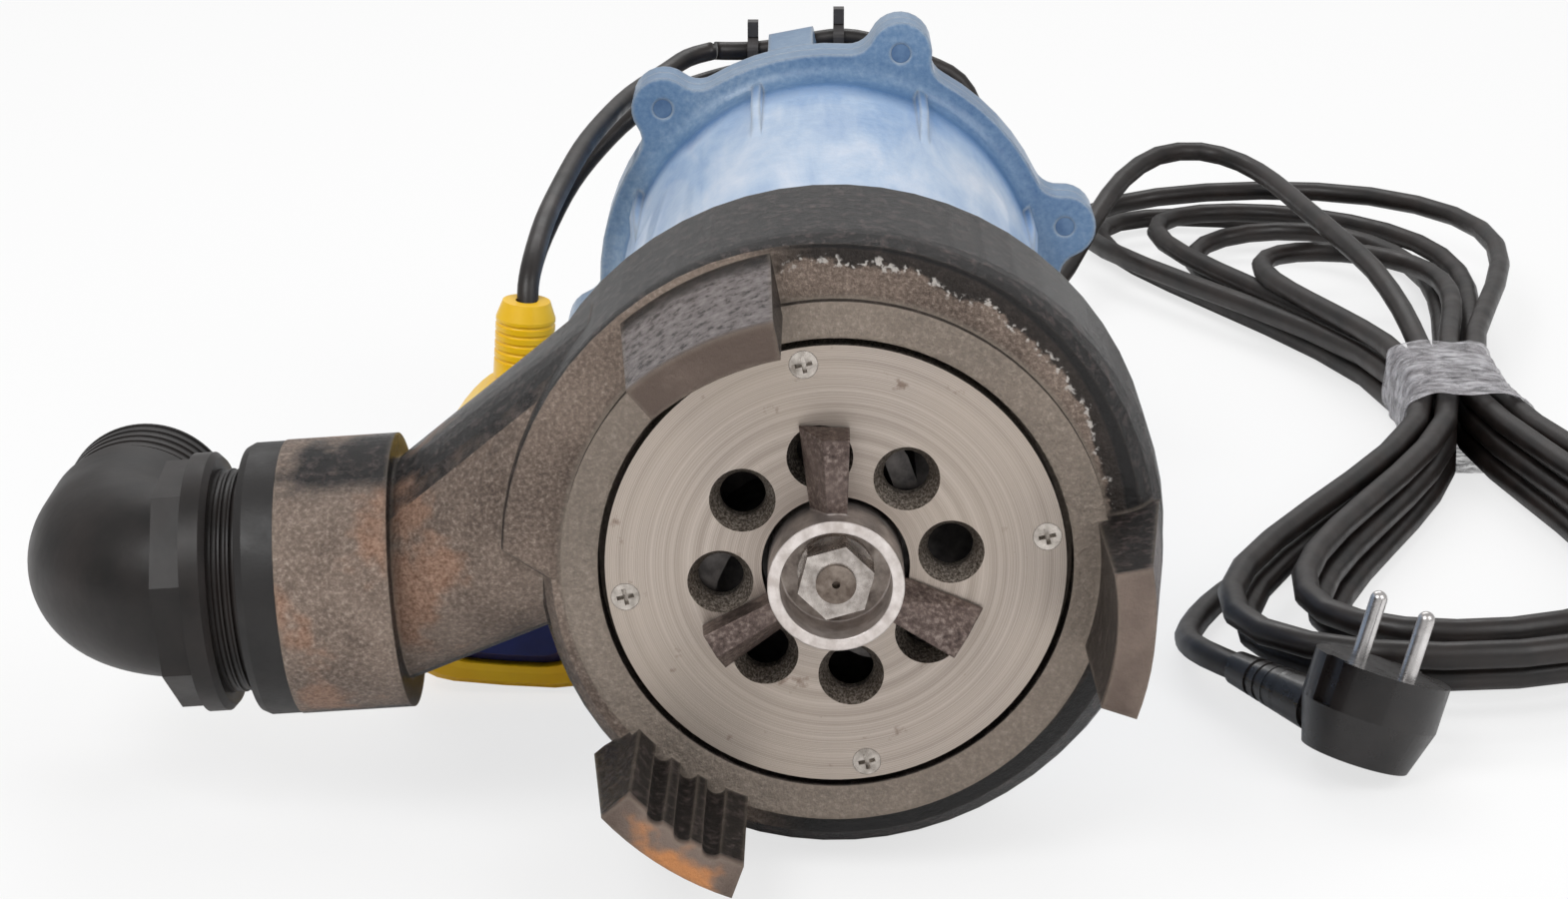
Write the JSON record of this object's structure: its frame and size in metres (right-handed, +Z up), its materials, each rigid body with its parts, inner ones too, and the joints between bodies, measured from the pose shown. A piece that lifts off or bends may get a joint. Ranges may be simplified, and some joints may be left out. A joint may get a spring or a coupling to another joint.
{
  "type": "submersible pump",
  "caption": "Submersible sewage pump with a cutter on its suction end, a threaded elbow outlet, a lifting handle, a tilting float switch and a hanked mains cord with a plug.",
  "frame": {"origin": "on the surface that the pump lies on, under the middle of the pump with its elbow and float", "axes": "+Y along the shaft from the suction plate to the lifting handle, +X to the right seen from the suction end with the outlet on the -X side, +Z up while the pump lies on its side"},
  "size_m": [0.4915, 0.7042, 0.1684],
  "materials": {
    "black_plastic": "moulded",
    "blue_paint": "light blue metallic paint over a casting",
    "blue_plastic": "moulded, satin",
    "carbon": "carbon",
    "cast_aluminium": "as cast",
    "cast_iron": "rough cast, part painted black",
    "ceramic": "white ceramic",
    "clear_tape": "thin clear tape",
    "cord_rubber": "smooth, slightly dusty",
    "elbow_plastic": "moulded, satin",
    "laminations": "stacked sheets",
    "screw_steel": "zinc plated",
    "seal_rubber": "black",
    "steel": "machined",
    "turned_iron": "turned, with fine concentric marks",
    "white_plastic": "moulded",
    "windings": "varnished copper wire",
    "yellow_plastic": "moulded, satin"
  },
  "bodies": {
    "pump": {"pump_casing": "cast_iron", "suction_plate": "turned_iron", "plate_screws": "screw_steel", "seal_plate": "cast_iron", "casing_ring": "seal_rubber", "casing_bolts": "screw_steel", "seal_seat": "ceramic", "motor_housing": "blue_paint", "oil_plug": "screw_steel", "shaft_lip_seal": "seal_rubber", "stator_core": "laminations", "stator_winding": "windings", "lower_bearing_outer": "steel", "upper_bearing_outer": "steel", "bearing_bracket": "cast_aluminium", "cover_ring": "seal_rubber", "top_cover": "blue_paint", "cover_bolts": "screw_steel", "capacitor": "white_plastic", "capacitor_clip": "steel", "terminal_block": "white_plastic", "mains_gland": "black_plastic", "mains_gland_nut": "black_plastic", "float_gland_nut": "black_plastic", "cable_ties": "black_plastic", "outlet_ring": "seal_rubber", "outlet_elbow": "elbow_plastic", "float_cable_slack": "cord_rubber", "mains_cord": "cord_rubber", "cord_hank": "cord_rubber", "hank_tape": "clear_tape", "plug_boot": "black_plastic", "plug_body": "black_plastic", "plug_pins": "steel"},
    "rotor": {"shaft": "steel", "rotor_core": "laminations", "rotor_cage": "cast_aluminium", "impeller": "cast_iron", "drive_key": "steel", "cutter": "steel", "cutter_washer": "steel", "cutter_nut": "screw_steel", "seal_face": "carbon", "seal_spring": "steel", "lower_bearing_inner": "steel", "upper_bearing_inner": "steel"},
    "lower_cage": {"lower_bearing_balls": "steel"},
    "upper_cage": {"upper_bearing_balls": "steel"},
    "float": {"float_back": "yellow_plastic", "float_front": "blue_plastic", "float_gland": "yellow_plastic", "ball_race": "white_plastic", "float_microswitch": "black_plastic", "float_cable": "cord_rubber"},
    "ball": {"switch_ball": "steel"},
    "plunger": {"switch_plunger": "white_plastic"}
  },
  "joints": [
    {"name": "shaft_spin", "type": "hinge", "parent": "pump", "child": "rotor", "pos_m": [0.06578, 0, 0.08422], "axis": [0, 1, 0], "continuous": true},
    {"name": "lower_cage_spin", "type": "hinge", "parent": "pump", "child": "lower_cage", "pos_m": [0.06578, -0.0515, 0.08422], "axis": [0, 1, 0], "continuous": true},
    {"name": "upper_cage_spin", "type": "hinge", "parent": "pump", "child": "upper_cage", "pos_m": [0.06578, 0.0925, 0.08422], "axis": [0, 1, 0], "continuous": true},
    {"name": "float_swing", "type": "hinge", "parent": "pump", "child": "float", "pos_m": [0.026, 0.188, 0.143], "axis": [0, 0, -1], "range_deg": [0, 90], "deforming": ["float_cable"]},
    {"name": "ball_roll", "type": "slide", "parent": "float", "child": "ball", "axis": [0.0698, 0, 0.9976], "range_m": [0, 0.014]},
    {"name": "plunger_press", "type": "slide", "parent": "float", "child": "plunger", "axis": [0.0698, 0, 0.9976], "range_m": [0, 0.0012]}
  ],
  "couplings": [
    {"joint": "lower_cage_spin", "follows": "shaft_spin", "ratio": 0.38},
    {"joint": "upper_cage_spin", "follows": "shaft_spin", "ratio": 0.38},
    {"joint": "plunger_press", "follows": "ball_roll", "ratio": 0.0857}
  ]
}
